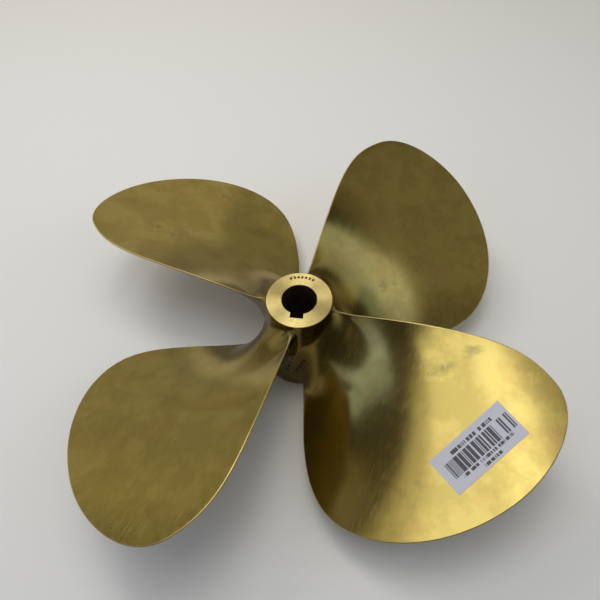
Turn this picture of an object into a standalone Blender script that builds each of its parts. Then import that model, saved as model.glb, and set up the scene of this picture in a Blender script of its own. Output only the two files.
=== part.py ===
"""A four-bladed right-handed boat propeller, cast in one piece, with a paper label on one blade.

Units are metres. The shaft axis is Z. The origin is the centre of the hub's wide forward end, on which the
propeller stands, and the blades' driving faces look up.
"""
import math

import bmesh
import bpy
import numpy as np

# Size of the propeller
PROP_RADIUS = 0.2794  # 22 inches across the blade tips
PITCH = 0.4826  # 19 inches of advance in one turn
BLADES = 4
FIRST_BLADE_ANGLE = math.radians(28.75)
RAKE_SLOPE = 0.115  # the blade rises aft by this much for each metre outward

# Driving face: a screw surface that is washed out and curled towards the hub
FACE_HEIGHT = 0.0653  # height of the face's reference line where it would meet the shaft axis
FACE_ANGLE = math.radians(15.4)  # where the reference line lies in a blade's own frame
ROOT_START = 0.6  # in tip radii, where the face starts to leave the true screw
ROOT_END = 0.2  # in tip radii, where it has left it fully
PITCH_LOSS = 0.398  # share of the pitch lost at ROOT_END
TRAILING_LIFT = 0.30  # curl of the face up towards the trailing edge at ROOT_END
LEADING_DROOP = 0.18  # curl of the face down towards the leading edge at ROOT_END

# Blade outline seen along the shaft, in millimetres: leading side from the hub out, tip, trailing side back in
# Each row is an anchor, then the offsets of its two handles
OUTLINE = (
    ((36.0, -18.0), (0.0, 0.0), (16.0, -9.5)),
    ((87.0, -48.7), (-14.0, 8.5), (20.5, -12.5)),
    ((172.5, -80.0), (-32.0, 0.0), (49.0, 0.0)),
    ((268.3, 55.0), (0.0, -77.0), (0.0, 41.5)),
    ((206.0, 149.5), (40.5, 0.0), (-50.0, 0.0)),
    ((20.0, 22.4), (112.0, 102.0), (0.0, 0.0)),
)

# Blade sections
THICKNESS_AT_AXIS = 0.045  # share of the propeller's diameter
THICKNESS_LOSS = 0.042  # from the axis to the tip
EDGE_RADIUS = 0.0010
NOSE_RADIUS_AT_HUB = 0.0105  # the leading edge is blunt near the hub
NOSE_END = 0.140  # beyond this radius the leading edge keeps EDGE_RADIUS
NOSE_FADE = 0.020
NOSE_POWER = 1.5
BELLY_POWER = 1.25  # over 1, the back leaves the edges more slowly than a parabola
BELLY_SKEW = 0.40  # the back is fuller towards the leading edge

# Root fillets, each a height on the hub and a reach along the blade
FACE_FILLET = (0.030, 0.056)
BACK_FILLET = (0.010, 0.022)
LEADING_FILLET = (0.008, 0.014)
TRAILING_FILLET = (0.004, 0.010)
FILLET_POWER = 0.8  # how fast the side fillets take over from the edge fillets

# Hub
HUB_LENGTH = 0.112
HUB_AFT_RADIUS = 0.0354
HUB_FORWARD_RADIUS = 0.0420
HUB_SWELL = 1.6  # power of the side's curve
HUB_EDGE = 0.0010
HUB_SEGMENTS = 64
HUB_STEPS = 7  # rings along the side
BORE_AFT_RADIUS = 0.0183
BORE_TAPER = 1 / 16  # of the diameter, on the length
KEYWAY_WIDTH = 0.0135
KEYWAY_DEPTH = 0.0045
KEYWAY_ANGLE = math.radians(-99.5)
CUT_OVERRUN = 0.010

# Grid of a blade
ROOT_DEPTH = 0.004  # how far the blade's root runs on inside the hub's wall
BLADE_ROWS = 24
SECTION_POINTS = 32
EDGE_CROWDING = 0.18  # over 0, the points of a section lie closer together at its two edges
CURVE_STEPS = 60
SLOPE_STEP = 0.0003  # for the lean of the outline
FOOT_PASSES = 6  # to find where each point of the root meets the hub
SHARP_ANGLE = math.radians(35)

# Paper label on one blade's driving face
LABEL_LENGTH = 0.0845
LABEL_WIDTH = 0.0385
LABEL_THICKNESS = 0.0003
LABEL_GAP = 0.0003
LABEL_CENTRE = (0.1575, -0.1575)
LABEL_HEADING = math.radians(33.3)  # of its long side, seen along the shaft
LABEL_STEPS = (12, 6)
LABEL_BLADE = 3  # the blades are numbered from 0, anticlockwise

MM = 0.001
MERGE_DISTANCE = 0.00002
NO_LENGTH = 1e-9  # keeps a vanished step from dividing by zero


def clear_scene():
    """Remove every object that the open file has."""
    for old in list(bpy.data.objects):
        bpy.data.objects.remove(old, do_unlink=True)


def bronze_material():
    """Polished manganese bronze with a dull golden tarnish."""
    material = bpy.data.materials.new("polished_bronze")
    material.use_nodes = True
    shader = material.node_tree.nodes["Principled BSDF"]
    shader.inputs["Base Color"].default_value = (0.54, 0.42, 0.18, 1.0)
    shader.inputs["Metallic"].default_value = 1.0
    shader.inputs["Roughness"].default_value = 0.34
    return material


def paper_material():
    """Plain white label paper."""
    material = bpy.data.materials.new("label_paper")
    material.use_nodes = True
    shader = material.node_tree.nodes["Principled BSDF"]
    shader.inputs["Base Color"].default_value = (0.80, 0.80, 0.78, 1.0)
    shader.inputs["Metallic"].default_value = 0.0
    shader.inputs["Roughness"].default_value = 0.55
    return material


def outline_points():
    """Points along the blade's outline, a cubic Bezier piece between each two anchors."""
    pieces = []
    t = np.linspace(0.0, 1.0, CURVE_STEPS)[:, None]
    for (start, _, leave), (end, arrive, _) in zip(OUTLINE[:-1], OUTLINE[1:]):
        a = np.array(start)
        b = a + np.array(leave)
        d = np.array(end)
        c = d + np.array(arrive)
        pieces.append((1 - t) ** 3 * a + 3 * (1 - t) ** 2 * t * b + 3 * (1 - t) * t * t * c + t ** 3 * d)
    return np.concatenate(pieces) * MM


def outline_angles():
    """Radii and angles of the leading and the trailing side, each from the hub to the tip."""
    loop = outline_points()
    radius = np.hypot(loop[:, 0], loop[:, 1])
    angle = np.arctan2(loop[:, 1], loop[:, 0])
    tip = int(np.argmax(radius))
    stretch = PROP_RADIUS / radius[tip]
    leading = (radius[:tip + 1] * stretch, angle[:tip + 1])
    trailing = (radius[tip:][::-1] * stretch, angle[tip:][::-1])
    return leading, trailing


def root_share(radius):
    """How far the face has left the true screw, from 0 on the outer blade to 1 at the hub."""
    span = ROOT_START - ROOT_END
    return np.clip((ROOT_START - radius / PROP_RADIUS) / span, 0, 1) ** 2


def face_slope(radius):
    """Angle between the section and the plane of the propeller."""
    return np.arctan(PITCH * (1 - PITCH_LOSS * root_share(radius)) / (math.tau * radius))


def face_height(radius, angle):
    """Height of the driving face in a blade's own frame."""
    root = root_share(radius)
    ahead = angle - FACE_ANGLE
    curl = np.where(ahead > 0, TRAILING_LIFT, -LEADING_DROOP)
    advance = (1 - PITCH_LOSS * root) * ahead + curl * root * ahead ** 2
    return FACE_HEIGHT + PITCH / math.tau * advance + RAKE_SLOPE * radius


def hub_radius(height):
    """Radius of the hub's side at a height."""
    share = np.clip(height / HUB_LENGTH, 0, 1)
    return HUB_FORWARD_RADIUS - (HUB_FORWARD_RADIUS - HUB_AFT_RADIUS) * share ** HUB_SWELL


def mixed(pair, other, share):
    """Heights and reaches part way from one fillet to another."""
    return [a + (b - a) * share for a, b in zip(pair, other)]


def section_loop(chord, upper, radius, distance, sides):
    """Angle and height of closed sections, where distance is how far each point lies outside the hub."""
    (lead_radius, lead_angle), (trail_radius, trail_angle) = sides
    lead = np.interp(radius, lead_radius, lead_angle)
    trail = np.interp(radius, trail_radius, trail_angle)
    lead_lean = radius * (np.interp(radius + SLOPE_STEP, lead_radius, lead_angle) - lead) / SLOPE_STEP
    trail_lean = radius * (np.interp(radius + SLOPE_STEP, trail_radius, trail_angle) - trail) / SLOPE_STEP
    slope = face_slope(radius)
    along = np.cos(slope) / radius

    blunt = np.clip((NOSE_END - radius) / NOSE_END, 0, 1) ** NOSE_POWER
    nose = EDGE_RADIUS + (NOSE_RADIUS_AT_HUB - EDGE_RADIUS) * blunt
    reach_out = nose * (np.cos(slope) + np.sin(slope) - 1) * np.clip((NOSE_END - radius) / NOSE_FADE, 0, 1)
    lead = lead - reach_out / radius
    angle = lead + (trail - lead) * chord
    length = (trail - lead) / along

    to_lead = chord * length / np.sqrt(1 + lead_lean ** 2)
    to_trail = (1 - chord) * length / np.sqrt(1 + trail_lean ** 2)
    to_edge = np.minimum(np.minimum(to_lead, to_trail), PROP_RADIUS - radius)
    edge = EDGE_RADIUS + (nose - EDGE_RADIUS) * (1 - chord) ** NOSE_POWER
    drop = edge * (1 - np.sqrt(1 - (1 - np.clip(to_edge / edge, 0, 1)) ** 2))
    full = 2 * PROP_RADIUS * THICKNESS_AT_AXIS - 2 * THICKNESS_LOSS * radius
    middle = 4 * chord * (1 - chord)
    belly = np.maximum(full - 2 * edge, 0) * middle ** BELLY_POWER * (1 + BELLY_SKEW * (1 - 2 * chord))
    offset = np.where(upper, -drop, drop - 2 * edge - belly)

    run = chord * length
    step_run = np.roll(run, -1, axis=1) - np.roll(run, 1, axis=1)
    step_offset = np.roll(offset, -1, axis=1) - np.roll(offset, 1, axis=1)
    step = np.maximum(np.hypot(step_run, step_offset), NO_LENGTH)
    ends = mixed(LEADING_FILLET, TRAILING_FILLET, chord)
    broad = [np.where(upper, face, back) for face, back in zip(FACE_FILLET, BACK_FILLET)]
    fillet_height, fillet_reach = mixed(ends, broad, middle ** FILLET_POWER)
    share = np.clip(1 - distance / fillet_reach, 0, 1)
    swell = fillet_height * (1 - np.sqrt(1 - share ** 2))
    angle = angle + swell * step_offset / step * along
    offset = offset - swell * step_run / step
    return angle - offset * np.sin(slope) / radius, face_height(radius, angle) + offset * np.cos(slope)


def blade_points():
    """Closed sections of one blade from inside the hub's wall out to the tip, in the blade's own frame."""
    sides = outline_angles()
    even = np.linspace(0, math.tau, SECTION_POINTS, endpoint=False)[None, :]
    turn = even - EDGE_CROWDING * np.sin(2 * even)
    chord = 0.5 + 0.5 * np.cos(turn)
    upper = turn < math.pi
    foot = np.full_like(chord, HUB_FORWARD_RADIUS)
    for _ in range(FOOT_PASSES):
        height = section_loop(chord, upper, foot, 0 * foot, sides)[1]
        foot = hub_radius(height)
    rows = (0.5 - 0.5 * np.cos(np.pi * np.linspace(0, 1, BLADE_ROWS)))[:, None]
    radius = foot + (PROP_RADIUS - foot) * rows
    angle, height = section_loop(chord, upper, radius, radius - foot, sides)
    radius = np.concatenate([foot - ROOT_DEPTH, radius])
    angle = np.concatenate([angle[:1], angle])
    height = np.concatenate([height[:1], height])
    return np.stack([radius * np.cos(angle), radius * np.sin(angle), height], axis=-1)


def loft_mesh(name, loops):
    """One closed shell from rings of points, capped at both ends."""
    builder = bmesh.new()
    rings = [[builder.verts.new(point) for point in loop] for loop in loops.tolist()]
    count = len(rings[0])
    for near, far in zip(rings[:-1], rings[1:]):
        for k in range(count):
            following = (k + 1) % count
            builder.faces.new((near[k], far[k], far[following], near[following]))
    builder.faces.new(rings[0])
    builder.faces.new(rings[-1][::-1])
    bmesh.ops.remove_doubles(builder, verts=builder.verts, dist=MERGE_DISTANCE)
    bmesh.ops.triangulate(builder, faces=builder.faces)
    bmesh.ops.recalc_face_normals(builder, faces=builder.faces)
    mesh = bpy.data.meshes.new(name)
    builder.to_mesh(mesh)
    builder.free()
    return mesh


def turned_mesh(name, profile, segments):
    """Solid of revolution about Z from a profile of radius and height, lowest point first."""
    builder = bmesh.new()
    angles = [math.tau * k / segments for k in range(segments)]
    rings = []
    for radius, height in profile:
        rings.append([builder.verts.new((radius * math.cos(a), radius * math.sin(a), height)) for a in angles])
    for low, high in zip(rings[:-1], rings[1:]):
        for k in range(segments):
            following = (k + 1) % segments
            builder.faces.new((low[k], low[following], high[following], high[k]))
    builder.faces.new(rings[0][::-1])
    builder.faces.new(rings[-1])
    mesh = bpy.data.meshes.new(name)
    builder.to_mesh(mesh)
    builder.free()
    return mesh


def add_object(name, mesh, material=None):
    """Link a new object for a mesh."""
    item = bpy.data.objects.new(name, mesh)
    bpy.context.collection.objects.link(item)
    if material:
        mesh.materials.append(material)
    return item


def as_guide(item):
    """Keep a shape for its Boolean only."""
    item.hide_render = True
    item.display_type = "WIRE"
    return item


def add_boolean(target, operand, operation):
    """Join or cut a solid with another."""
    step = target.modifiers.new(operation.lower() + "_" + operand.name, "BOOLEAN")
    step.operation = operation
    step.solver = "EXACT"
    step.object = operand


def hub_profile():
    """Side of the hub from the forward face up to the aft face, with broken edges."""
    heights = np.linspace(HUB_EDGE, HUB_LENGTH - HUB_EDGE, HUB_STEPS)
    side = [(float(hub_radius(h)), float(h)) for h in heights]
    first = (HUB_FORWARD_RADIUS - HUB_EDGE, 0.0)
    last = (HUB_AFT_RADIUS - HUB_EDGE, HUB_LENGTH)
    return [first] + side + [last]


def bore_cutter():
    """Tapered shaft hole."""
    low = -CUT_OVERRUN
    high = HUB_LENGTH + CUT_OVERRUN
    profile = [(BORE_AFT_RADIUS + (HUB_LENGTH - h) * BORE_TAPER / 2, h) for h in (low, high)]
    return as_guide(add_object("bore_cutter", turned_mesh("bore_cutter", profile, HUB_SEGMENTS)))


def keyway_cutter():
    """Square groove along the bore, parallel with its wall."""
    half = KEYWAY_WIDTH / 2
    corners = []
    for height in (-CUT_OVERRUN, HUB_LENGTH + CUT_OVERRUN):
        depth = BORE_AFT_RADIUS + (HUB_LENGTH - height) * BORE_TAPER / 2 + KEYWAY_DEPTH
        corners += [(0.0, -half, height), (depth, -half, height), (depth, half, height), (0.0, half, height)]
    faces = [(3, 2, 1, 0), (4, 5, 6, 7), (0, 1, 5, 4), (1, 2, 6, 5), (2, 3, 7, 6), (3, 0, 4, 7)]
    mesh = bpy.data.meshes.new("keyway_cutter")
    mesh.from_pydata(corners, [], faces)
    cutter = as_guide(add_object("keyway_cutter", mesh))
    cutter.rotation_euler.z = KEYWAY_ANGLE
    return cutter


def build_casting():
    """Hub and four blades as one solid."""
    bronze = bronze_material()
    casting = add_object("propeller_casting", turned_mesh("hub", hub_profile(), HUB_SEGMENTS), bronze)
    blade_mesh = loft_mesh("blade", blade_points())
    for number in range(BLADES):
        blade = as_guide(add_object(f"blade_{number + 1}", blade_mesh))
        blade.rotation_euler.z = FIRST_BLADE_ANGLE + number * math.tau / BLADES
        add_boolean(casting, blade, "UNION")
    add_boolean(casting, bore_cutter(), "DIFFERENCE")
    add_boolean(casting, keyway_cutter(), "DIFFERENCE")
    for polygon in casting.data.polygons:
        polygon.use_smooth = True
    casting.data.set_sharp_from_angle(angle=SHARP_ANGLE)


def labelled_face(x, y):
    """Height and unit normal of the labelled blade's driving face, seen along the shaft."""
    turn = FIRST_BLADE_ANGLE + LABEL_BLADE * math.tau / BLADES

    def height(px, py):
        angle = np.remainder(np.arctan2(py, px) - turn + math.pi, math.tau) - math.pi
        return face_height(np.hypot(px, py), angle)

    step = 0.5 * MM
    rise_x = (height(x + step, y) - height(x - step, y)) / (2 * step)
    rise_y = (height(x, y + step) - height(x, y - step)) / (2 * step)
    normal = np.stack([-rise_x, -rise_y, np.ones_like(rise_x)], axis=-1)
    return height(x, y), normal / np.linalg.norm(normal, axis=-1, keepdims=True)


def sheet_mesh(name, upper, lower):
    """One closed shell from an upper and a lower grid."""
    rows, columns = upper.shape[:2]
    builder = bmesh.new()
    top = [[builder.verts.new(point) for point in row] for row in upper.tolist()]
    bottom = [[builder.verts.new(point) for point in row] for row in lower.tolist()]
    for i in range(rows - 1):
        for j in range(columns - 1):
            builder.faces.new((top[i][j], top[i + 1][j], top[i + 1][j + 1], top[i][j + 1]))
            builder.faces.new((bottom[i][j], bottom[i][j + 1], bottom[i + 1][j + 1], bottom[i + 1][j]))
    for i in range(rows - 1):
        builder.faces.new((top[i][0], bottom[i][0], bottom[i + 1][0], top[i + 1][0]))
        builder.faces.new((top[i][-1], top[i + 1][-1], bottom[i + 1][-1], bottom[i][-1]))
    for j in range(columns - 1):
        builder.faces.new((top[0][j], top[0][j + 1], bottom[0][j + 1], bottom[0][j]))
        builder.faces.new((top[-1][j], bottom[-1][j], bottom[-1][j + 1], top[-1][j + 1]))
    bmesh.ops.triangulate(builder, faces=builder.faces)
    bmesh.ops.recalc_face_normals(builder, faces=builder.faces)
    mesh = bpy.data.meshes.new(name)
    builder.to_mesh(mesh)
    builder.free()
    return mesh


def build_label():
    """Stuck-on paper label that follows the blade's face."""
    middle = np.array(LABEL_CENTRE)
    _, upright = labelled_face(middle[0], middle[1])
    heading = np.array([math.cos(LABEL_HEADING), math.sin(LABEL_HEADING), 0.0])
    along = heading - np.dot(heading, upright) * upright
    along /= np.linalg.norm(along)
    across = np.cross(upright, along)
    run = (np.linspace(0, 1, LABEL_STEPS[0] + 1)[None, :] - 0.5) * LABEL_LENGTH
    side = (np.linspace(0, 1, LABEL_STEPS[1] + 1)[:, None] - 0.5) * LABEL_WIDTH
    x = middle[0] + run * along[0] + side * across[0]
    y = middle[1] + run * along[1] + side * across[1]
    height, normal = labelled_face(x, y)
    face = np.stack([x, y, height], axis=-1)
    upper = face + (LABEL_GAP + LABEL_THICKNESS) * normal
    lower = face + LABEL_GAP * normal
    add_object("paper_label", sheet_mesh("paper_label", upper, lower), paper_material())


def main():
    clear_scene()
    build_casting()
    build_label()


main()
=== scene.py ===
import math

import bpy
import numpy as np
from mathutils import Matrix, Vector


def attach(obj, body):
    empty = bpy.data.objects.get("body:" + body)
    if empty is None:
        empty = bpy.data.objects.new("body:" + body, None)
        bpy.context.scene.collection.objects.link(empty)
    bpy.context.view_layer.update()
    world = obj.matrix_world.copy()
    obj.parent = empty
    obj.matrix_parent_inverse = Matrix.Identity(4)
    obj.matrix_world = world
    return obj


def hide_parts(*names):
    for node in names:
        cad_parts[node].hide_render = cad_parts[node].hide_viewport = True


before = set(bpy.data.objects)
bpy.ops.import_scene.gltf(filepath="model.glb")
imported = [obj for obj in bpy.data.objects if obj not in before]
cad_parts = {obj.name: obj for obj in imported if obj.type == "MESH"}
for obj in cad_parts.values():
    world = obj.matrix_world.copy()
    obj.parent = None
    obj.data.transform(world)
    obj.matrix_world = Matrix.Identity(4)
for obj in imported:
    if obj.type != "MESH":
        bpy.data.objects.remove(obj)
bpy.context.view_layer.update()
print("frame loaded")

mm = 0.001
tau = 2 * math.pi
tiny = 1e-9  # keeps a division off zero

# The propeller's driving sizes, in metres and radians, as the CAD casting has them
propeller = {
    "radius": 0.2794,
    "pitch": 0.4826,
    "blades": 4,
    "firstBladeAngle": math.radians(28.75),
    "rakeSlope": 0.115,
    "faceHeight": 0.0653,
    "faceAngle": math.radians(15.4),
    "rootStart": 0.6,  # in tip radii, where the face starts to leave the true screw
    "rootEnd": 0.2,
    "pitchLoss": 0.398,
    "trailingLift": 0.30,
    "leadingDroop": 0.18,
}

# Blade outline seen along the shaft, in millimetres: anchors with the offsets of their two handles,
# from the hub out along the leading side, round the tip and back along the trailing side
outline = (
    ((36.0, -18.0), (0.0, 0.0), (16.0, -9.5)),
    ((87.0, -48.7), (-14.0, 8.5), (20.5, -12.5)),
    ((172.5, -80.0), (-32.0, 0.0), (49.0, 0.0)),
    ((268.3, 55.0), (0.0, -77.0), (0.0, 41.5)),
    ((206.0, 149.5), (40.5, 0.0), (-50.0, 0.0)),
    ((20.0, 22.4), (112.0, 102.0), (0.0, 0.0)),
)
outlineSteps = 400  # points worked out on each piece of the outline

# Thickness and edges of a blade, and the fillets that run it into the hub
section = {
    "thicknessAtAxis": 0.045,  # share of the propeller's diameter
    "thicknessLoss": 0.042,
    "edgeRadius": 0.0010,
    "noseRadiusAtHub": 0.0105,
    "noseEnd": 0.140,
    "noseFade": 0.020,
    "nosePower": 1.5,
    "bellyPower": 1.25,
    "bellySkew": 0.40,
    # each fillet's height on the hub and reach along the blade. The face's reach is 10 mm more than in CAD
    "faceFillet": (0.030, 0.066),
    "backFillet": (0.010, 0.022),
    "leadingFillet": (0.008, 0.014),
    "trailingFillet": (0.004, 0.010),
    "filletPower": 0.8,
    "skirt": 0.00006,  # how far the root's rim stands proud of the hub's side
    "plunge": 0.004,  # how far the root runs on into the hub
    "rows": 200,
    "around": 240,
    "footRounds": 6,
}

# The hub with its taper bore and keyway, and the spacing of its grid
hub = {
    "length": 0.112,
    "aftRadius": 0.0354,
    "forwardRadius": 0.0420,
    "swell": 1.6,
    "edge": 0.0010,
    "boreAftRadius": 0.0183,
    "boreTaper": 1 / 16,
    "boreChamfer": 0.0005,
    "keyWidth": 0.0135,
    "keyDepth": 0.0045,
    "keyAngle": math.radians(-99.5),
    "turnStep": math.radians(2),
    "riseStep": 0.004,
    "aftSteps": 0.1,  # shares of the way from an end's rim in to the bore
    "forwardSteps": (1, 0.66, 0.33),
    "edgeRows": 6,
    "boreRows": 16,
    "keyWallPoints": 9,
    "keyFloorPoints": 61,
}

# Punched marks, as rows of plain hatches
faceMarks = {
    "middle": math.radians(81.5),
    "radius": 0.0288,
    "pitch": math.radians(8.07),
    "count": 7,
    "height": 0.0031,
    "gap": 0.0012,
    "width": 0.0010,
    "depth": 0.00040,
    "fine": 0.00025,  # grid spacing over the marks
    "fineAround": 0.4,  # how far the fine grid runs past the row, in pitches
    "fineAcross": 0.7,  # and how far to either side of its middle, in mark heights
}
sideMarks = {
    # angle and height of the first and the last mark of each row, and how many there are
    "rows": ((-101.4, 0.0655, -113.6, 0.0300, 5), (-86.8, 0.0585, -103.2, 0.0250, 6)),
    "height": 0.0040,
    "gap": 0.0016,
    "width": 0.0012,
    "depth": 0.00045,
    "fine": 0.00040,
    "spread": 0.012,  # how far out on a blade's foot they still show
}
farFromEdge = 0.05  # stands for a distance that is well past the rubbed edges


def linear(code):
    # sRGB hex to the linear colour that shaders use
    parts = [int(code[i:i + 2], 16) / 255 for i in (1, 3, 5)]
    return [p / 12.92 if p <= 0.04045 else ((p + 0.055) / 1.055) ** 2.4 for p in parts] + [1.0]


def meshFrom(name, points, quads, triangles=(), sharpAngle=40):
    # one mesh from a point array and index arrays, written with foreach_set
    mesh = bpy.data.meshes.new(name)
    loops = [np.asarray(quads, np.int32).ravel()]
    totals = [np.full(len(quads), 4, np.int32)]
    if len(triangles):
        loops.append(np.asarray(triangles, np.int32).ravel())
        totals.append(np.full(len(triangles), 3, np.int32))
    loops = np.concatenate(loops)
    totals = np.concatenate(totals)
    starts = np.concatenate([[0], np.cumsum(totals)[:-1]]).astype(np.int32)
    mesh.vertices.add(len(points))
    mesh.vertices.foreach_set("co", np.asarray(points, np.float32).ravel())
    mesh.loops.add(len(loops))
    mesh.loops.foreach_set("vertex_index", loops)
    mesh.polygons.add(len(totals))
    mesh.polygons.foreach_set("loop_start", starts)
    mesh.polygons.foreach_set("loop_total", totals)
    mesh.polygons.foreach_set("use_smooth", np.ones(len(totals), bool))
    mesh.update(calc_edges=True)
    mesh.set_sharp_from_angle(angle=math.radians(sharpAngle))
    item = bpy.data.objects.new(name, mesh)
    bpy.context.scene.collection.objects.link(item)
    return item


def addMap(item, name, perPoint):
    # a UV map with one pair for each point of the mesh
    mesh = item.data
    points = np.empty(len(mesh.loops), np.int32)
    mesh.loops.foreach_get("vertex_index", points)
    pairs = np.asarray(perPoint, np.float32)[points]
    mesh.uv_layers.new(name=name).data.foreach_set("uv", pairs.ravel())


def addValues(item, name, perPoint):
    # an attribute with one number for each point of the mesh
    layer = item.data.attributes.new(name, "FLOAT", "POINT")
    layer.data.foreach_set("value", np.asarray(perPoint, np.float32).ravel())


def tubeQuads(rows, columns):
    # quads of a grid whose columns close round on themselves
    i = np.arange(rows - 1)[:, None] * columns
    j = np.arange(columns)[None, :]
    k = (j + 1) % columns
    return np.stack([i + j, i + k, i + columns + k, i + columns + j], axis=-1).reshape(-1, 4)


def outlineAngles():
    # radius and angle along the leading and the trailing side, from cubic Bezier pieces
    t = np.linspace(0, 1, outlineSteps)[:, None]
    pieces = []
    for (start, _, leave), (end, arrive, _) in zip(outline[:-1], outline[1:]):
        a, d = np.array(start), np.array(end)
        b, c = a + np.array(leave), d + np.array(arrive)
        pieces.append((1 - t) ** 3 * a + 3 * (1 - t) ** 2 * t * b + 3 * (1 - t) * t * t * c + t ** 3 * d)
    loop = np.concatenate(pieces) * mm
    radius = np.hypot(loop[:, 0], loop[:, 1])
    angle = np.arctan2(loop[:, 1], loop[:, 0])
    tip = int(np.argmax(radius))
    radius = radius * propeller["radius"] / radius[tip]
    return (radius[:tip + 1], angle[:tip + 1]), (radius[tip:][::-1], angle[tip:][::-1])


def rootShare(radius):
    # how far the face has left the true screw: 0 on the outer blade, then as a square up to 1 at the hub
    span = propeller["rootStart"] - propeller["rootEnd"]
    return np.clip((propeller["rootStart"] - radius / propeller["radius"]) / span, 0, 1) ** 2


def faceSlope(radius):
    # the section's angle to the plane of the propeller: its tangent is the pitch over the way round
    share = 1 - propeller["pitchLoss"] * rootShare(radius)
    return np.arctan(propeller["pitch"] * share / (tau * radius))


def faceHeight(radius, angle):
    # a screw surface: height grows with the angle, and near the hub with its square towards either edge
    root = rootShare(radius)
    ahead = angle - propeller["faceAngle"]
    curl = np.where(ahead > 0, propeller["trailingLift"], -propeller["leadingDroop"])
    advance = (1 - propeller["pitchLoss"] * root) * ahead + curl * root * ahead ** 2
    return propeller["faceHeight"] + propeller["pitch"] / tau * advance + propeller["rakeSlope"] * radius


def hubRadius(height):
    # the hub's side: its radius falls with a power of the height, from the forward end to the aft one
    share = np.clip(height / hub["length"], 0, 1)
    return hub["forwardRadius"] - (hub["forwardRadius"] - hub["aftRadius"]) * share ** hub["swell"]


def mixed(pair, other, share):
    # a height and a reach part way from one fillet to another
    return [a + (b - a) * share for a, b in zip(pair, other)]


def sectionLoop(chord, upper, radius, distance, sides):
    # closed sections, each point at its share of the chord on the driving face or on the back: the face drops
    # in a quarter round at its edges, and the back bulges with a power of the distance from both edges.
    # Near the hub the loop swells along its own normal, in a quarter round over the distance from the hub
    (leadRadius, leadAngle), (trailRadius, trailAngle) = sides
    nearby = 0.3 * mm
    lead = np.interp(radius, leadRadius, leadAngle)
    trail = np.interp(radius, trailRadius, trailAngle)
    leadLean = radius * (np.interp(radius + nearby, leadRadius, leadAngle) - lead) / nearby
    trailLean = radius * (np.interp(radius + nearby, trailRadius, trailAngle) - trail) / nearby
    slope = faceSlope(radius)
    along = np.cos(slope) / radius

    rim = section["edgeRadius"]
    blunt = np.clip((section["noseEnd"] - radius) / section["noseEnd"], 0, 1) ** section["nosePower"]
    nose = rim + (section["noseRadiusAtHub"] - rim) * blunt
    fade = np.clip((section["noseEnd"] - radius) / section["noseFade"], 0, 1)
    lead = lead - nose * (np.cos(slope) + np.sin(slope) - 1) * fade / radius
    angle = lead + (trail - lead) * chord
    length = (trail - lead) / along

    toLead = chord * length / np.sqrt(1 + leadLean ** 2)
    toTrail = (1 - chord) * length / np.sqrt(1 + trailLean ** 2)
    toEdge = np.minimum(np.minimum(toLead, toTrail), propeller["radius"] - radius)
    edge = rim + (nose - rim) * (1 - chord) ** section["nosePower"]
    drop = edge * (1 - np.sqrt(1 - (1 - np.clip(toEdge / edge, 0, 1)) ** 2))
    full = 2 * (propeller["radius"] * section["thicknessAtAxis"] - section["thicknessLoss"] * radius)
    middle = 4 * chord * (1 - chord)
    fullness = middle ** section["bellyPower"] * (1 + section["bellySkew"] * (1 - 2 * chord))
    offset = np.where(upper, -drop, drop - 2 * edge - np.maximum(full - 2 * edge, 0) * fullness)

    run = chord * length
    stepRun = np.roll(run, -1, axis=1) - np.roll(run, 1, axis=1)
    stepOffset = np.roll(offset, -1, axis=1) - np.roll(offset, 1, axis=1)
    step = np.maximum(np.hypot(stepRun, stepOffset), tiny)
    ends = mixed(section["leadingFillet"], section["trailingFillet"], chord)
    broad = [np.where(upper, face, back) for face, back in zip(section["faceFillet"], section["backFillet"])]
    filletHeight, filletReach = mixed(ends, broad, middle ** section["filletPower"])
    share = np.clip(1 - distance / filletReach, 0, 1)
    swell = filletHeight * (1 - np.sqrt(1 - share ** 2))
    angle = angle + swell * stepOffset / step * along
    offset = offset - swell * stepRun / step
    bearing = angle - offset * np.sin(slope) / radius
    return bearing, faceHeight(radius, angle) + offset * np.cos(slope), toEdge


def bladePoints():
    # rows of sections from just inside the hub's wall out to the tip, closer together at both ends,
    # with every point's distance to the edge. The foot is where the sections' lines meet the hub's side:
    # its radius and the height there are worked out in turn until they agree
    sides = outlineAngles()
    turn = np.linspace(0, tau, section["around"], endpoint=False)[None, :]
    chord = 0.5 + 0.5 * np.cos(turn)
    upper = turn < math.pi
    foot = np.full_like(chord, hub["forwardRadius"])
    for _ in range(section["footRounds"]):
        foot = hubRadius(sectionLoop(chord, upper, foot, 0 * foot, sides)[1]) + section["skirt"]
    step = (0.5 - 0.5 * np.cos(math.pi * np.linspace(0, 1, section["rows"])))[:, None]
    radius = foot + (propeller["radius"] - foot) * step
    angle, height, toEdge = sectionLoop(chord, upper, radius, radius - foot, sides)
    radius = np.concatenate([foot - section["plunge"], radius])
    angle, height, toEdge = [np.concatenate([a[:1], a]) for a in (angle, height, toEdge)]
    return radius, angle, height, toEdge


# Where fingers and cloths have left duller patches:
# blade, middle, half length and half width, heading in degrees, and strength
smudges = (
    (0, (0.098, 0.051), (0.022, 0.014), 8, 0.35),
    (0, (0.060, 0.150), (0.030, 0.018), 70, 0.20),
    (1, (-0.150, 0.110), (0.030, 0.014), -25, 0.30),
    (1, (-0.088, 0.200), (0.026, 0.012), 20, 0.28),
    (2, (-0.150, -0.060), (0.040, 0.022), 60, 0.22),
    (2, (-0.100, -0.150), (0.022, 0.014), 30, 0.25),
    (3, (0.138, -0.082), (0.018, 0.006), 14, 0.55),
    (3, (0.166, -0.070), (0.014, 0.008), -10, 0.50),
)


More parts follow.
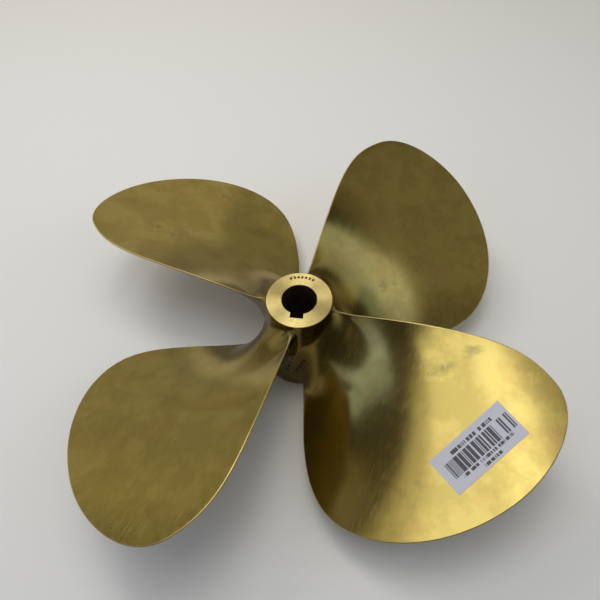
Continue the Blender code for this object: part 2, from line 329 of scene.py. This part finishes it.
def smudgeShare(number, x, y):
    # each patch fades from its middle as a stretched bell
    share = np.zeros_like(x)
    for blade, middle, half, heading, strength in smudges:
        if blade == number:
            turn = math.radians(heading)
            along = (x - middle[0]) * math.cos(turn) + (y - middle[1]) * math.sin(turn)
            across = (y - middle[1]) * math.cos(turn) - (x - middle[0]) * math.sin(turn)
            share = share + strength * np.exp(-(along / half[0]) ** 2 - (across / half[1]) ** 2)
    return share


def makeBlade(number, radius, angle, height, toEdge):
    # the grid of sections turned to the blade's place, drawn together into one point inside the hub
    # and into one at the tip
    bearing = angle + propeller["firstBladeAngle"] + number * tau / propeller["blades"]
    grid = np.stack([radius * np.cos(bearing), radius * np.sin(bearing), height], axis=-1)
    rows, columns = len(grid) - 1, grid.shape[1]
    points = np.concatenate([grid[:-1].reshape(-1, 3), [grid[0].mean(axis=0), grid[-1].mean(axis=0)]])
    j = np.arange(columns)
    k = (j + 1) % columns
    last = (rows - 1) * columns
    rootCap = np.stack([k, j, np.full(columns, rows * columns)], axis=-1)
    tipCap = np.stack([last + j, last + k, np.full(columns, rows * columns + 1)], axis=-1)
    caps = np.concatenate([rootCap, tipCap])
    item = meshFrom(f"blade_{number + 1}", points, tubeQuads(rows, columns), caps)
    addValues(item, "toEdge", np.append(toEdge[:-1].ravel(), [farFromEdge, 0.0]))
    addValues(item, "smudge", smudgeShare(number, points[:, 0], points[:, 1]))
    # the punched marks run up over the foot of a blade, there as painted shade alone
    away = np.hypot(points[:, 0], points[:, 1]) - hub["forwardRadius"]
    marks = sideMarkDepth(np.arctan2(points[:, 1], points[:, 0]), points[:, 2]) / sideMarks["depth"]
    addValues(item, "markShade", np.where(away < sideMarks["spread"], marks, 0))
    return item


def strokeDepth(u, v, length, size):
    # depth of one upright punched stroke of half-round section around u = 0, v = 0
    past = np.maximum(np.abs(v) - length / 2, 0)
    away = np.hypot(u, past) / (size["width"] / 2)
    return size["depth"] * np.sqrt(np.clip(1 - away ** 2, 0, 1))


def hatchDepth(u, v, kind, size):
    # one punched mark: two upright strokes side by side, or three short level ones stacked
    gap = size["gap"]
    if kind % 2:
        strokes = [strokeDepth(v - k * gap, u, gap, size) for k in (-1, 0, 1)]
    else:
        strokes = [strokeDepth(u - k * gap / 2, v, size["height"] - size["width"], size) for k in (-1, 1)]
    return np.max(strokes, axis=0)


def faceMarkDepth(radius, angle):
    # a row of hatches on an arc
    depth = np.zeros_like(radius)
    for i in range(faceMarks["count"]):
        centre = faceMarks["middle"] + (i - (faceMarks["count"] - 1) / 2) * faceMarks["pitch"]
        u = (angle - centre) * faceMarks["radius"]
        depth = np.maximum(depth, hatchDepth(u, radius - faceMarks["radius"], i, faceMarks))
    return depth


def sideMarkDepth(angle, height):
    # two slanting rows of hatches on the hub's side
    depth = np.zeros_like(height)
    for start, top, end, bottom, count in sideMarks["rows"]:
        for i in range(count):
            share = i / (count - 1)
            middle = math.radians(start + (end - start) * share)
            u = (angle - middle) * hub["forwardRadius"]
            v = height - (top + (bottom - top) * share)
            depth = np.maximum(depth, hatchDepth(u, v, i, sideMarks))
    return depth


def refined(start, end, step, low, high, fine):
    # numbers from start to end by a step, and by a finer one between low and high
    coarse = np.arange(start, end, step)
    return np.sort(np.append(coarse[(coarse < low) | (coarse > high)], np.arange(low, high, fine)))


def boreRadius(height):
    # a cone that widens forwards
    return hub["boreAftRadius"] + (hub["length"] - height) * hub["boreTaper"] / 2


def keyHalfAngle(radius):
    # half the angle that the keyway's mouth takes up round a bore of this radius
    return math.asin(hub["keyWidth"] / 2 / radius)


def boreLoop(height, share, key):
    # x and y round the bore at a height: an arc over share, then over key the keyway's wall, floor and wall
    half = hub["keyWidth"] / 2
    radius = boreRadius(height)
    mouth = keyHalfAngle(radius)
    arc = hub["keyAngle"] + mouth + share * (tau - 2 * mouth)
    shore = radius * math.cos(mouth)
    floor = radius + hub["keyDepth"]
    path = np.interp(key, [0, 1, 2, 3], [shore, floor, floor, shore])
    side = np.interp(key, [0, 1, 2, 3], [-half, -half, half, half])
    c, s = math.cos(hub["keyAngle"]), math.sin(hub["keyAngle"])
    x = np.append(radius * np.cos(arc), path * c - side * s)
    y = np.append(radius * np.sin(arc), path * s + side * c)
    return x, y


def makeHub():
    # a closed profile carried round the shaft: side, aft face, bore with its keyway, forward face
    length, edge, chamfer = hub["length"], hub["edge"], hub["boreChamfer"]
    rowHalf = 0.5 * (faceMarks["count"] + faceMarks["fineAround"]) * faceMarks["pitch"]
    mouth = keyHalfAngle(hub["boreAftRadius"])
    start = hub["keyAngle"] + mouth
    arc = refined(start, start + tau - 2 * mouth, hub["turnStep"], faceMarks["middle"] - rowHalf,
                  faceMarks["middle"] + rowHalf, faceMarks["fine"] / faceMarks["radius"])
    share = (arc - start) / (tau - 2 * mouth)
    key = np.concatenate([np.linspace(0, 1, hub["keyWallPoints"]),
                          np.linspace(1, 2, hub["keyFloorPoints"])[1:],
                          np.linspace(2, 3, hub["keyWallPoints"])[1:]])
    x, y = boreLoop(length, share, key)
    angle = np.arctan2(y, x)

    # the side, with its rounded lower and upper edge and the rows of marks
    quarter = np.linspace(0, math.pi / 2, hub["edgeRows"])
    out, rise = edge * np.sin(quarter), edge * np.cos(quarter)
    low = np.stack([hub["forwardRadius"] - edge + out, edge - rise], axis=1)
    high = np.stack([hub["aftRadius"] - edge + rise, length - edge + out], axis=1)
    markLow = min(row[3] for row in sideMarks["rows"]) - sideMarks["height"]
    markHigh = max(row[1] for row in sideMarks["rows"]) + sideMarks["height"]
    levels = refined(edge, length - edge, hub["riseStep"], markLow, markHigh, sideMarks["fine"])[1:]
    profile = np.concatenate([low, np.stack([hubRadius(levels), levels], axis=1), high])
    height = profile[:, 1:] + 0 * angle
    dent = sideMarkDepth(angle + 0 * height, height)
    radius = profile[:, :1] - dent
    # painted shade in the marks on the side, as deep as each dent
    sideMarkShade = dent / sideMarks["depth"]
    parts = [np.stack([radius * np.cos(angle), radius * np.sin(angle), height], axis=-1)]

    def flatRing(outside, atHeight, steps):
        # rows from an outer circle in to the chamfered mouth of the bore
        inner = np.stack(boreLoop(atHeight, share, key), axis=-1) * (1 + chamfer / hub["boreAftRadius"])
        outer = outside * np.stack([np.cos(angle), np.sin(angle)], axis=-1)
        return outer + (inner - outer) * steps[:, None, None]

    # the aft face with its row of marks
    wide = hub["aftRadius"] - edge
    span = wide - hub["boreAftRadius"]
    reach = faceMarks["fineAcross"] * faceMarks["height"]
    markIn = (wide - faceMarks["radius"] - reach) / span
    markOut = (wide - faceMarks["radius"] + reach) / span
    steps = np.append(refined(0, 1, hub["aftSteps"], markIn, markOut, faceMarks["fine"] / span)[1:], 1)
    ring = flatRing(wide, length, steps)
    dent = faceMarkDepth(np.hypot(ring[..., 0], ring[..., 1]), np.arctan2(ring[..., 1], ring[..., 0]))
    # painted shade in the marks on the aft face, as deep as each dent
    faceMarkShade = dent / faceMarks["depth"]
    parts.append(np.concatenate([ring, (length - dent)[..., None]], axis=-1))

    # the bore, and the forward face
    for level in np.linspace(length - chamfer, chamfer, hub["boreRows"]):
        loop = np.stack([*boreLoop(level, share, key), level + 0 * angle], axis=-1)
        parts.append(loop[None])
    under = flatRing(hub["forwardRadius"] - edge, 0.0, np.array(hub["forwardSteps"]))
    parts.append(np.concatenate([under, 0 * under[..., :1]], axis=-1))

    points = np.concatenate(parts)
    rows, columns = points.shape[:2]
    j = np.arange(columns)
    k = (j + 1) % columns
    last = (rows - 1) * columns
    closing = np.stack([last + j, last + k, k, j], axis=-1)
    item = meshFrom("hub", points.reshape(-1, 3), np.concatenate([tubeQuads(rows, columns), closing]))

    # the material of each row of faces: 0 the cast side, 1 the turned ends, 2 the bore
    sideEnd, faceEnd, boreEnd = len(parts[0]), len(parts[0]) + len(parts[1]), rows - len(parts[-1])
    finish = np.zeros(rows, np.int32)
    finish[sideEnd - 1:faceEnd - 1] = 1
    finish[faceEnd - 1:boreEnd - 1] = 2
    finish[boreEnd - 1:] = 1
    item.data.polygons.foreach_set("material_index", np.repeat(finish, columns))
    # painted shade of the punched marks, for each point
    markShade = np.zeros((rows, columns))
    markShade[:sideEnd] = sideMarkShade
    markShade[sideEnd:faceEnd] = faceMarkShade
    addValues(item, "markShade", markShade)
    addValues(item, "toEdge", np.full(rows * columns, farFromEdge))
    return item


bladeGrid = bladePoints()
bladeItems = [makeBlade(number, *bladeGrid) for number in range(propeller["blades"])]
hubItem = makeHub()
print("casting shaped")

# The stuck-on label
label = {
    "length": 0.0845,
    "width": 0.0385,
    "centre": (0.1575, -0.1575),
    "heading": math.radians(33.3),
    "under": 0.00015,  # height of its lower side over the blade's face
    "over": 0.0006,
    "blade": 3,
    "steps": (96, 44),
}


def labelledFace(x, y):
    # height and normal of the labelled blade's driving face, seen along the shaft
    turn = propeller["firstBladeAngle"] + label["blade"] * tau / propeller["blades"]

    def height(px, py):
        angle = np.remainder(np.arctan2(py, px) - turn + math.pi, tau) - math.pi
        return faceHeight(np.hypot(px, py), angle)

    step = 0.5 * mm
    riseX = (height(x + step, y) - height(x - step, y)) / (2 * step)
    riseY = (height(x, y + step) - height(x, y - step)) / (2 * step)
    normal = np.stack([-riseX, -riseY, 1 + 0 * riseX], axis=-1)
    return height(x, y), normal / np.linalg.norm(normal, axis=-1, keepdims=True)


def makeLabel():
    # a sheet laid on the face: its plan is a grid along and across its heading, its height the face's
    middle = np.array(label["centre"])
    upright = labelledFace(*middle)[1]
    heading = np.array([math.cos(label["heading"]), math.sin(label["heading"]), 0.0])
    along = heading - np.dot(heading, upright) * upright
    along /= np.linalg.norm(along)
    across = np.cross(upright, along)
    columns, rows = label["steps"]
    u = np.linspace(0, 1, columns + 1)[None, :] + np.zeros((rows + 1, 1))
    v = np.linspace(0, 1, rows + 1)[:, None] + np.zeros((1, columns + 1))
    run = (u - 0.5) * label["length"]
    side = (v - 0.5) * label["width"]
    x = middle[0] + run * along[0] + side * across[0]
    y = middle[1] + run * along[1] + side * across[1]
    height, normal = labelledFace(x, y)
    face = np.stack([x, y, height], axis=-1)
    upper = face + label["over"] * normal
    lower = face + label["under"] * normal

    # faces of the upper side, the lower side and the rim between them
    count = (rows + 1) * (columns + 1)
    i = np.arange(rows)[:, None] * (columns + 1)
    j = np.arange(columns)[None, :]
    top = np.stack([i + j, i + j + 1, i + columns + j + 2, i + columns + j + 1], axis=-1).reshape(-1, 4)
    index = np.arange(count).reshape(rows + 1, columns + 1)
    rim = np.concatenate([index[0, :-1], index[:-1, -1], index[-1, :0:-1], index[:0:-1, 0]])
    following = np.roll(rim, -1)
    sides = np.stack([rim, rim + count, following + count, following], axis=-1)
    quads = np.concatenate([top, top[:, ::-1] + count, sides])
    item = meshFrom("label", np.concatenate([upper.reshape(-1, 3), lower.reshape(-1, 3)]), quads)
    place = np.stack([u.ravel(), v.ravel()], axis=-1)
    addMap(item, "print", np.concatenate([place, place]))
    return item


labelItem = makeLabel()
print("label laid")


def addNode(tree, kind, inputs, output=0, **settings):
    # one node with its settings; an input is a value to set or a socket to link, and one output comes back
    node = tree.nodes.new("ShaderNode" + kind)
    for name, value in settings.items():
        setattr(node, name, value)
    for name, value in inputs.items():
        if isinstance(value, bpy.types.NodeSocket):
            tree.links.new(value, node.inputs[name])
        else:
            node.inputs[name].default_value = value
    return node.outputs[output]


def newMaterial(name):
    # a plain material, with its nodes and its shader's inputs
    material = bpy.data.materials.new(name)
    material.use_nodes = True
    return material, material.node_tree, material.node_tree.nodes["Principled BSDF"].inputs


# Scales are in cycles a metre. A range gives the values between which a pattern comes in, and how far
bronzeLook = {
    "polished": linear("#a69350"),
    "tarnished": linear("#867639"),
    "brown": linear("#92703e"),
    "root": linear("#655321"),  # the darker oxide round the hub, also painted shade on the hub's side and the blades' feet
    "smudge": linear("#68613c"),
    "edge": linear("#d2c084"),
    "speck": linear("#3a3018"),
    # painted shade in the punched marks
    "markShade": linear("#20180c"),
    "clouds": {"Scale": 24.0, "Detail": 5, "Roughness": 0.6},  # blotches of some 40 mm
    "cloudRange": {"From Min": 0.46, "From Max": 0.56, "To Max": 0.38},
    "stains": {"Scale": 34.0, "Detail": 3, "Roughness": 0.5},  # brown stains of some 30 mm
    "stainRange": {"From Min": 0.61, "From Max": 0.74, "To Max": 0.26},
    "mottle": {"Scale": 120.0, "Detail": 4, "Roughness": 0.6},  # blotches of some 8 mm
    "mottleInStain": 0.2,
    "scratches": {"Scale": 1.0, "Detail": 2, "Roughness": 0.6},
    "scratchScale": (1100.0, 60.0, 200.0),  # about 1 mm wide, as coarse as the render can show
    "scratchHeading": math.radians(24),
    "scratchRange": {"From Min": 0.5, "From Max": 0.74},
    "scratchLight": 0.09,
    "rootFrom": 0.060,  # radii between which the oxide and its painted shade fade out
    "rootTo": 0.095,
    "rootWaver": 0.04,
    "rootShare": 0.7,
    "smudgeRange": {"From Min": 0.75, "From Max": 1.15, "To Max": 0.8},
    "speckScale": 48.0,  # cells of some 20 mm
    "speckSizes": {"From Min": 0.72, "From Max": 1, "To Max": 0.085},  # most cells have no speck
    "speckRange": {"From Min": 0, "From Max": 0.03, "To Max": 0.7},
    "markShadeRange": {"From Min": 0.1, "From Max": 0.5, "To Max": 0.95},
    "rubbedRange": {"From Min": 0.0003, "From Max": 0.0014, "To Min": 0.3, "To Max": 0},
    "roughness": {"From Min": 0.35, "From Max": 0.7, "To Min": 0.14, "To Max": 0.17},
    "scratchRoughness": 0.06,
    "rootRoughness": 0.14,
    "rubbedRoughness": 0.8,
    "cloudRelief": 0.35,
    "scratchRelief": 0.10,
    "relief": {"Strength": 0.4, "Distance": 0.00014},
}


def bronzeMaterial():
    # satin manganese bronze, cast and ground by hand: cloudy tarnish, browner oxide round the hub that
    # also paints the shade there, fine slanting scratches, a few dark specks, painted shade in the punched
    # marks and bright rubbed edges
    look = bronzeLook
    material, tree, shader = newMaterial("castBronze")
    place = addNode(tree, "TexCoord", {}, "Object")
    clouds = addNode(tree, "TexNoise", {"Vector": place, **look["clouds"]})
    mottle = addNode(tree, "TexNoise", {"Vector": place, **look["mottle"]})
    slanted = addNode(tree, "Mapping", {"Vector": place, "Rotation": (0, 0, look["scratchHeading"])})
    stretched = addNode(tree, "Mapping", {"Vector": slanted, "Scale": look["scratchScale"]})
    lines = addNode(tree, "TexNoise", {"Vector": stretched, **look["scratches"]})
    flat = addNode(tree, "VectorMath", {0: place, 1: (1, 1, 0)}, operation="MULTIPLY")
    radius = addNode(tree, "VectorMath", {0: flat}, "Value", operation="LENGTH")

    # colour: polish, tarnish, brown stains, root oxide with painted shade, scratches, smudges, specks,
    # painted shade in the punched marks, rubbed edges
    colour = addNode(tree, "MapRange", {"Value": clouds, **look["cloudRange"]})
    colour = addNode(tree, "MixRGB", {"Fac": colour, "Color1": look["polished"], "Color2": look["tarnished"]})
    stain = addNode(tree, "TexNoise", {"Vector": place, **look["stains"]})
    stain = addNode(tree, "Math", {0: mottle, 1: look["mottleInStain"], 2: stain}, operation="MULTIPLY_ADD")
    stain = addNode(tree, "MapRange", {"Value": stain, **look["stainRange"]})
    colour = addNode(tree, "MixRGB", {"Fac": stain, "Color1": colour, "Color2": look["brown"]})
    # the clouds' noise lies round a half, so both radii move out by half the waver
    waver = addNode(tree, "Math", {0: clouds, 1: look["rootWaver"], 2: radius}, operation="MULTIPLY_ADD")
    # oxide round the hub, which also paints the shade on the hub's side and the blades' feet
    oxideAndShade = addNode(tree, "MapRange", {"Value": waver, "From Min": look["rootFrom"] + look["rootWaver"] / 2,
                                       "From Max": look["rootTo"] + look["rootWaver"] / 2,
                                       "To Min": look["rootShare"], "To Max": 0})
    colour = addNode(tree, "MixRGB", {"Fac": oxideAndShade, "Color1": colour, "Color2": look["root"]})
    scratch = addNode(tree, "MapRange", {"Value": lines, **look["scratchRange"]})
    light = addNode(tree, "Math", {0: scratch, 1: look["scratchLight"]}, operation="MULTIPLY")
    colour = addNode(tree, "MixRGB", {"Fac": light, "Color1": colour, "Color2": look["edge"]})
    smudge = addNode(tree, "Attribute", {}, "Fac", attribute_name="smudge")
    smudge = addNode(tree, "Math", {0: mottle, 1: smudge}, operation="ADD")
    smudge = addNode(tree, "MapRange", {"Value": smudge, **look["smudgeRange"]})
    colour = addNode(tree, "MixRGB", {"Fac": smudge, "Color1": colour, "Color2": look["smudge"]})
    cell = {"Vector": place, "Scale": look["speckScale"]}
    distance = addNode(tree, "TexVoronoi", cell, "Distance")
    tone = addNode(tree, "TexVoronoi", cell, "Color")
    size = addNode(tree, "MapRange", {"Value": tone, **look["speckSizes"]})
    speck = addNode(tree, "Math", {0: size, 1: distance}, operation="SUBTRACT")
    speck = addNode(tree, "MapRange", {"Value": speck, **look["speckRange"]})
    colour = addNode(tree, "MixRGB", {"Fac": speck, "Color1": colour, "Color2": look["speck"]})
    # painted shade in the punched marks
    markShade = addNode(tree, "Attribute", {}, "Fac", attribute_name="markShade")
    markShade = addNode(tree, "MapRange", {"Value": markShade, **look["markShadeRange"]})
    colour = addNode(tree, "MixRGB", {"Fac": markShade, "Color1": colour, "Color2": look["markShade"]})
    rubbed = addNode(tree, "Attribute", {}, "Fac", attribute_name="toEdge")
    rubbed = addNode(tree, "MapRange", {"Value": rubbed, **look["rubbedRange"]})
    colour = addNode(tree, "MixRGB", {"Fac": rubbed, "Color1": colour, "Color2": look["edge"]})
    tree.links.new(colour, shader["Base Color"])

    rough = addNode(tree, "MapRange", {"Value": clouds, **look["roughness"]})
    for pattern, gain in ((scratch, look["scratchRoughness"]), (oxideAndShade, look["rootRoughness"]),
                          (rubbed, look["rubbedRoughness"])):
        rough = addNode(tree, "Math", {0: pattern, 1: gain, 2: rough}, operation="MULTIPLY_ADD")
    tree.links.new(rough, shader["Roughness"])
    shader["Metallic"].default_value = 1.0
    swell = addNode(tree, "Math", {0: clouds, 1: look["cloudRelief"]}, operation="MULTIPLY")
    relief = {0: scratch, 1: look["scratchRelief"], 2: swell}
    relief = addNode(tree, "Math", relief, operation="MULTIPLY_ADD")
    tree.links.new(addNode(tree, "Bump", {"Height": relief, **look["relief"]}), shader["Normal"])
    return material


turnedLook = {
    "colour": linear("#e4cd85"),
    "stain": linear("#a69254"),
    # painted shade in the punched marks
    "markShade": linear("#2c200c"),
    "rings": {"Scale": 2200.0, "Detail": 2},  # tool marks about 0.45 mm apart
    "stains": {"Scale": 160.0, "Detail": 4},  # about 6 mm
    "stainRange": {"From Min": 0.5, "From Max": 0.8, "To Max": 0.4},
    "markShadeRange": {"From Min": 0.05, "From Max": 0.4, "To Max": 0.97},
    "roughness": {"To Min": 0.34, "To Max": 0.54},
    "anisotropy": 0.92,
    "relief": {"Strength": 0.5, "Distance": 0.00006},
}


def turnedMaterial():
    # the same bronze faced on a lathe: paler and brighter, with fine tool rings that spread its shine
    # outwards, faint stains, and painted shade in the punched marks
    look = turnedLook
    material, tree, shader = newMaterial("turnedBronze")
    place = addNode(tree, "TexCoord", {}, "Object")
    flat = addNode(tree, "VectorMath", {0: place, 1: (1, 1, 0)}, operation="MULTIPLY")
    radius = addNode(tree, "VectorMath", {0: flat}, "Value", operation="LENGTH")
    rings = addNode(tree, "TexNoise", {"W": radius, **look["rings"]}, noise_dimensions="1D")
    stain = addNode(tree, "TexNoise", {"Vector": place, **look["stains"]})
    stain = addNode(tree, "MapRange", {"Value": stain, **look["stainRange"]})
    colour = addNode(tree, "MixRGB", {"Fac": stain, "Color1": look["colour"], "Color2": look["stain"]})
    # painted shade in the punched marks
    markShade = addNode(tree, "Attribute", {}, "Fac", attribute_name="markShade")
    markShade = addNode(tree, "MapRange", {"Value": markShade, **look["markShadeRange"]})
    colour = addNode(tree, "MixRGB", {"Fac": markShade, "Color1": colour, "Color2": look["markShade"]})
    tree.links.new(colour, shader["Base Color"])
    tree.links.new(addNode(tree, "MapRange", {"Value": rings, **look["roughness"]}), shader["Roughness"])
    shader["Metallic"].default_value = 1.0
    shader["Anisotropic"].default_value = look["anisotropy"]
    shader["Anisotropic Rotation"].default_value = 0.25  # a quarter turn from the tangent
    tree.links.new(addNode(tree, "Tangent", {}, direction_type="RADIAL", axis="Z"), shader["Tangent"])
    tree.links.new(addNode(tree, "Bump", {"Height": rings, **look["relief"]}), shader["Normal"])
    return material


boreLook = {
    "bare": linear("#5a3f24"),
    "greased": linear("#2a2016"),
    "stains": {"Scale": 140.0, "Detail": 5, "Roughness": 0.65},  # about 7 mm
    "stainRange": {"From Min": 0.35, "From Max": 0.7},
    "metallic": 0.4,
    "roughness": 0.6,
}


def boreMaterial():
    # bored bronze left to oxidise: dull brown under old grease, nearly black in shade
    look = boreLook
    material, tree, shader = newMaterial("oxidisedBronze")
    place = addNode(tree, "TexCoord", {}, "Object")
    stain = addNode(tree, "TexNoise", {"Vector": place, **look["stains"]})
    stain = addNode(tree, "MapRange", {"Value": stain, **look["stainRange"]})
    colour = addNode(tree, "MixRGB", {"Fac": stain, "Color1": look["bare"], "Color2": look["greased"]})
    tree.links.new(colour, shader["Base Color"])
    shader["Metallic"].default_value = look["metallic"]
    shader["Roughness"].default_value = look["roughness"]
    return material


labelLook = {
    "paper": linear("#d0cdd1"),
    "ink": linear("#1e1d1b"),
    # left, right, top and bottom as shares of the label, cells along its length, and the share of them inked
    "rows": ((0.08, 0.97, 0.30, 0.70, 95.0, 0.55), (0.23, 0.81, 0.155, 0.245, 90.0, 0.62),
             (0.18, 0.88, 0.735, 0.805, 120.0, 0.62), (0.42, 0.655, 0.865, 0.935, 90.0, 0.62)),
    "rowShift": 97.5,  # cells between one row's random draw and the next row's
    "softEnds": 0.002,
    "softSides": 0.006,
    "wear": {"Scale": 900.0, "Detail": 3},  # about 1 mm
    "wearRange": {"From Min": 0.3, "From Max": 0.7, "To Min": 0.86, "To Max": 1},
    "roughness": 0.45,
}


def labelMaterial():
    # coated white paper, printed with a block of plain bars and rows of plain dashes in grey-black ink
    look = labelLook
    material, tree, shader = newMaterial("coatedPaper")
    place = addNode(tree, "UVMap", {}, uv_map="print")
    across = addNode(tree, "SeparateXYZ", {"Vector": place}, "X")
    up = addNode(tree, "SeparateXYZ", {"Vector": place}, "Y")
    ink = None
    for number, (left, right, top, bottom, cells, share) in enumerate(look["rows"]):
        shift = look["rowShift"] * number
        cell = addNode(tree, "Math", {0: across, 1: cells, 2: shift}, operation="MULTIPLY_ADD")
        cell = addNode(tree, "Math", {0: cell}, operation="FLOOR")
        chance = addNode(tree, "TexWhiteNoise", {"W": cell}, noise_dimensions="1D")
        dark = addNode(tree, "Math", {0: chance, 1: share}, operation="LESS_THAN")
        ends = (across, (left + right) / 2, (right - left) / 2, look["softEnds"])
        sides = (up, 1 - (top + bottom) / 2, (bottom - top) / 2, look["softSides"])
        for value, middle, half, soft in (ends, sides):
            away = addNode(tree, "Math", {0: value, 1: middle}, operation="SUBTRACT")
            away = addNode(tree, "Math", {0: away}, operation="ABSOLUTE")
            within = addNode(tree, "MapRange", {"Value": away, "From Min": half, "From Max": half + soft,
                                                "To Min": 1, "To Max": 0})
            dark = addNode(tree, "Math", {0: dark, 1: within}, operation="MULTIPLY")
        ink = dark if ink is None else addNode(tree, "Math", {0: ink, 1: dark}, operation="MAXIMUM")
    wear = addNode(tree, "TexNoise", {"Vector": addNode(tree, "TexCoord", {}, "Object"), **look["wear"]})
    wear = addNode(tree, "MapRange", {"Value": wear, **look["wearRange"]})
    ink = addNode(tree, "Math", {0: ink, 1: wear}, operation="MULTIPLY")
    colour = addNode(tree, "MixRGB", {"Fac": ink, "Color1": look["paper"], "Color2": look["ink"]})
    tree.links.new(colour, shader["Base Color"])
    shader["Roughness"].default_value = look["roughness"]
    return material


castBronze = bronzeMaterial()
for item in bladeItems:
    item.data.materials.append(castBronze)
for material in (castBronze, turnedMaterial(), boreMaterial()):
    hubItem.data.materials.append(material)
labelItem.data.materials.append(labelMaterial())
for item in bladeItems + [hubItem]:
    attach(item, "root")
    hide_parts("propeller_casting")
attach(labelItem, "root")
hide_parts("paper_label")
print("materials set")

# A wide matt floor
floor = {
    "half": 3,
    "colour": linear("#f4f0e6"),
    "roughness": 0.8,
}
floorCorners = [(floor["half"] * x, floor["half"] * y, 0) for x, y in ((-1, -1), (1, -1), (1, 1), (-1, 1))]
floorMesh = bpy.data.meshes.new("floor")
floorMesh.from_pydata(floorCorners, [], [(0, 1, 2, 3)])
floorItem = bpy.data.objects.new("floor", floorMesh)
bpy.context.scene.collection.objects.link(floorItem)
floorMaterial, _, floorShader = newMaterial("paleFloor")
floorShader["Base Color"].default_value = floor["colour"]
floorShader["Roughness"].default_value = floor["roughness"]
floorMesh.materials.append(floorMaterial)

# Camera, at the photograph's angle. Its target lies just off the middle of the hub's aft face
camera = {
    "elevation": 0.9629,
    "roll": -0.0383,
    "distance": 0.5720,
    "target": (0.00076, -0.00093, hub["length"]),
    "focal": 549.9,  # in pixels
    "pictureWidth": 600,
    "sensor": 36.0,
}
cameraData = bpy.data.cameras.new("camera")
cameraData.sensor_width = camera["sensor"]
cameraData.lens = camera["focal"] * camera["sensor"] / camera["pictureWidth"]
cameraItem = bpy.data.objects.new("camera", cameraData)
bpy.context.scene.collection.objects.link(cameraItem)
back = Vector((0, -math.cos(camera["elevation"]), math.sin(camera["elevation"])))
right = Vector((1, 0, 0))
up = back.cross(right)
roll = camera["roll"]
rolledRight = math.cos(roll) * right + math.sin(roll) * up
rolledUp = -math.sin(roll) * right + math.cos(roll) * up
cameraTurn = Matrix((rolledRight, rolledUp, back)).transposed().to_4x4()
cameraPlace = Vector(camera["target"]) + back * camera["distance"]
cameraItem.matrix_world = Matrix.Translation(cameraPlace) @ cameraTurn
bpy.context.scene.camera = cameraItem

# The soft boxes, all one distance off: name, degrees off the zenith to the right and away from the camera,
# heading of the long side, length and width in degrees, brightness and colour
lightDistance = 1.6
lightCentre = Vector((0, 0, 0.06))
softBoxes = (
    ("keyMiddle", (-3, 14), -33, (17, 15), 4.4, "#f8fbff"),
    ("keyLeft", (-25, 31), -33, (22, 15), 4.5, "#fcfdff"),
    ("keyRight", (11, 8), -33, (15, 15), 2.6, "#fffdf8"),
    ("overhead", (-11.5, -4.2), 90, (30, 26), 2.30, "#f0f4ff"),
    ("overheadMiddle", (0, -3), 0, (15, 15), 0.9, "#f6f8ff"),
    ("overheadEdge", (-27.5, 3), 90, (30, 8), 0.80, "#ffffff"),
    ("rightWindow", (42.2, -12.3), 47, (60, 14), 1.08, "#ccdcff"),
    ("rightWindowFar", (52.5, -22), 47, (50, 14), 0.55, "#c4e4ff"),
    ("leftWindow", (-44.0, -32), 90, (42, 9), 1.55, "#b0c8ff"),
    ("leftWindowTop", (-56, -2), 127, (26, 9), 1.10, "#b0ccff"),
    ("leftHigh", (-42, 19), 90, (20, 12), 0.20, "#fff4de"),
    ("leftLow", (-78, 0), 90, (60, 18), 0.90, "#eef2ff"),
    ("leftBack", (-64, 22), 75, (36, 16), 0.30, "#ffffff"),
    ("backWall", (-6, 67), 0, (98, 56), 0.29, "#fffdf8"),
    ("backLeft", (-16, 60), 0, (60, 40), 0.13, "#fffdf8"),
    ("backMiddle", (3, 62), 0, (28, 26), 0.12, "#fffdf8"),
    ("rightHigh", (31, 4), 90, (52, 20), 0.14, "#ffffff"),
    ("rightLow", (75, 16), 90, (44, 24), 0.45, "#fff8e8"),
    ("ceiling", (6, 14), 0, (78, 78), 0.11, "#fffaf0"),
)


def skyDirection(x, y):
    # the direction that lies x degrees to the right of the zenith and y degrees away from the camera
    tilt = math.radians(math.hypot(x, y))
    bearing = math.atan2(y, x)
    return Vector((math.sin(tilt) * math.cos(bearing), math.sin(tilt) * math.sin(bearing), math.cos(tilt)))


def softBox(name, place, heading, spread, brightness, colour):
    # a rectangular light that faces the middle of the stage, with the same brightness at any size
    data = bpy.data.lights.new(name, "AREA")
    data.shape = "RECTANGLE"
    data.size, data.size_y = [2 * lightDistance * math.tan(math.radians(angle / 2)) for angle in spread]
    data.energy = brightness * math.pi * data.size * data.size_y
    data.color = linear(colour)[:3]
    away = skyDirection(*place)
    turn = math.radians(heading)
    along = skyDirection(place[0] + math.cos(turn), place[1] + math.sin(turn)) - away
    along = (along - along.dot(away) * away).normalized()
    item = bpy.data.objects.new(name, data)
    bpy.context.scene.collection.objects.link(item)
    facing = Matrix((along, away.cross(along), away)).transposed().to_4x4()
    item.matrix_world = Matrix.Translation(away * lightDistance + lightCentre) @ facing


for row in softBoxes:
    softBox(*row)

# A little warm light from all round
surroundings = {
    "colour": linear("#fff6e4"),
    "strength": 0.07,
}
world = bpy.data.worlds.new("world")
world.use_nodes = True
background = world.node_tree.nodes["Background"].inputs
background["Color"].default_value = surroundings["colour"]
background["Strength"].default_value = surroundings["strength"]
bpy.context.scene.world = world
bpy.context.scene.view_settings.view_transform = "Standard"
print("stage lit")
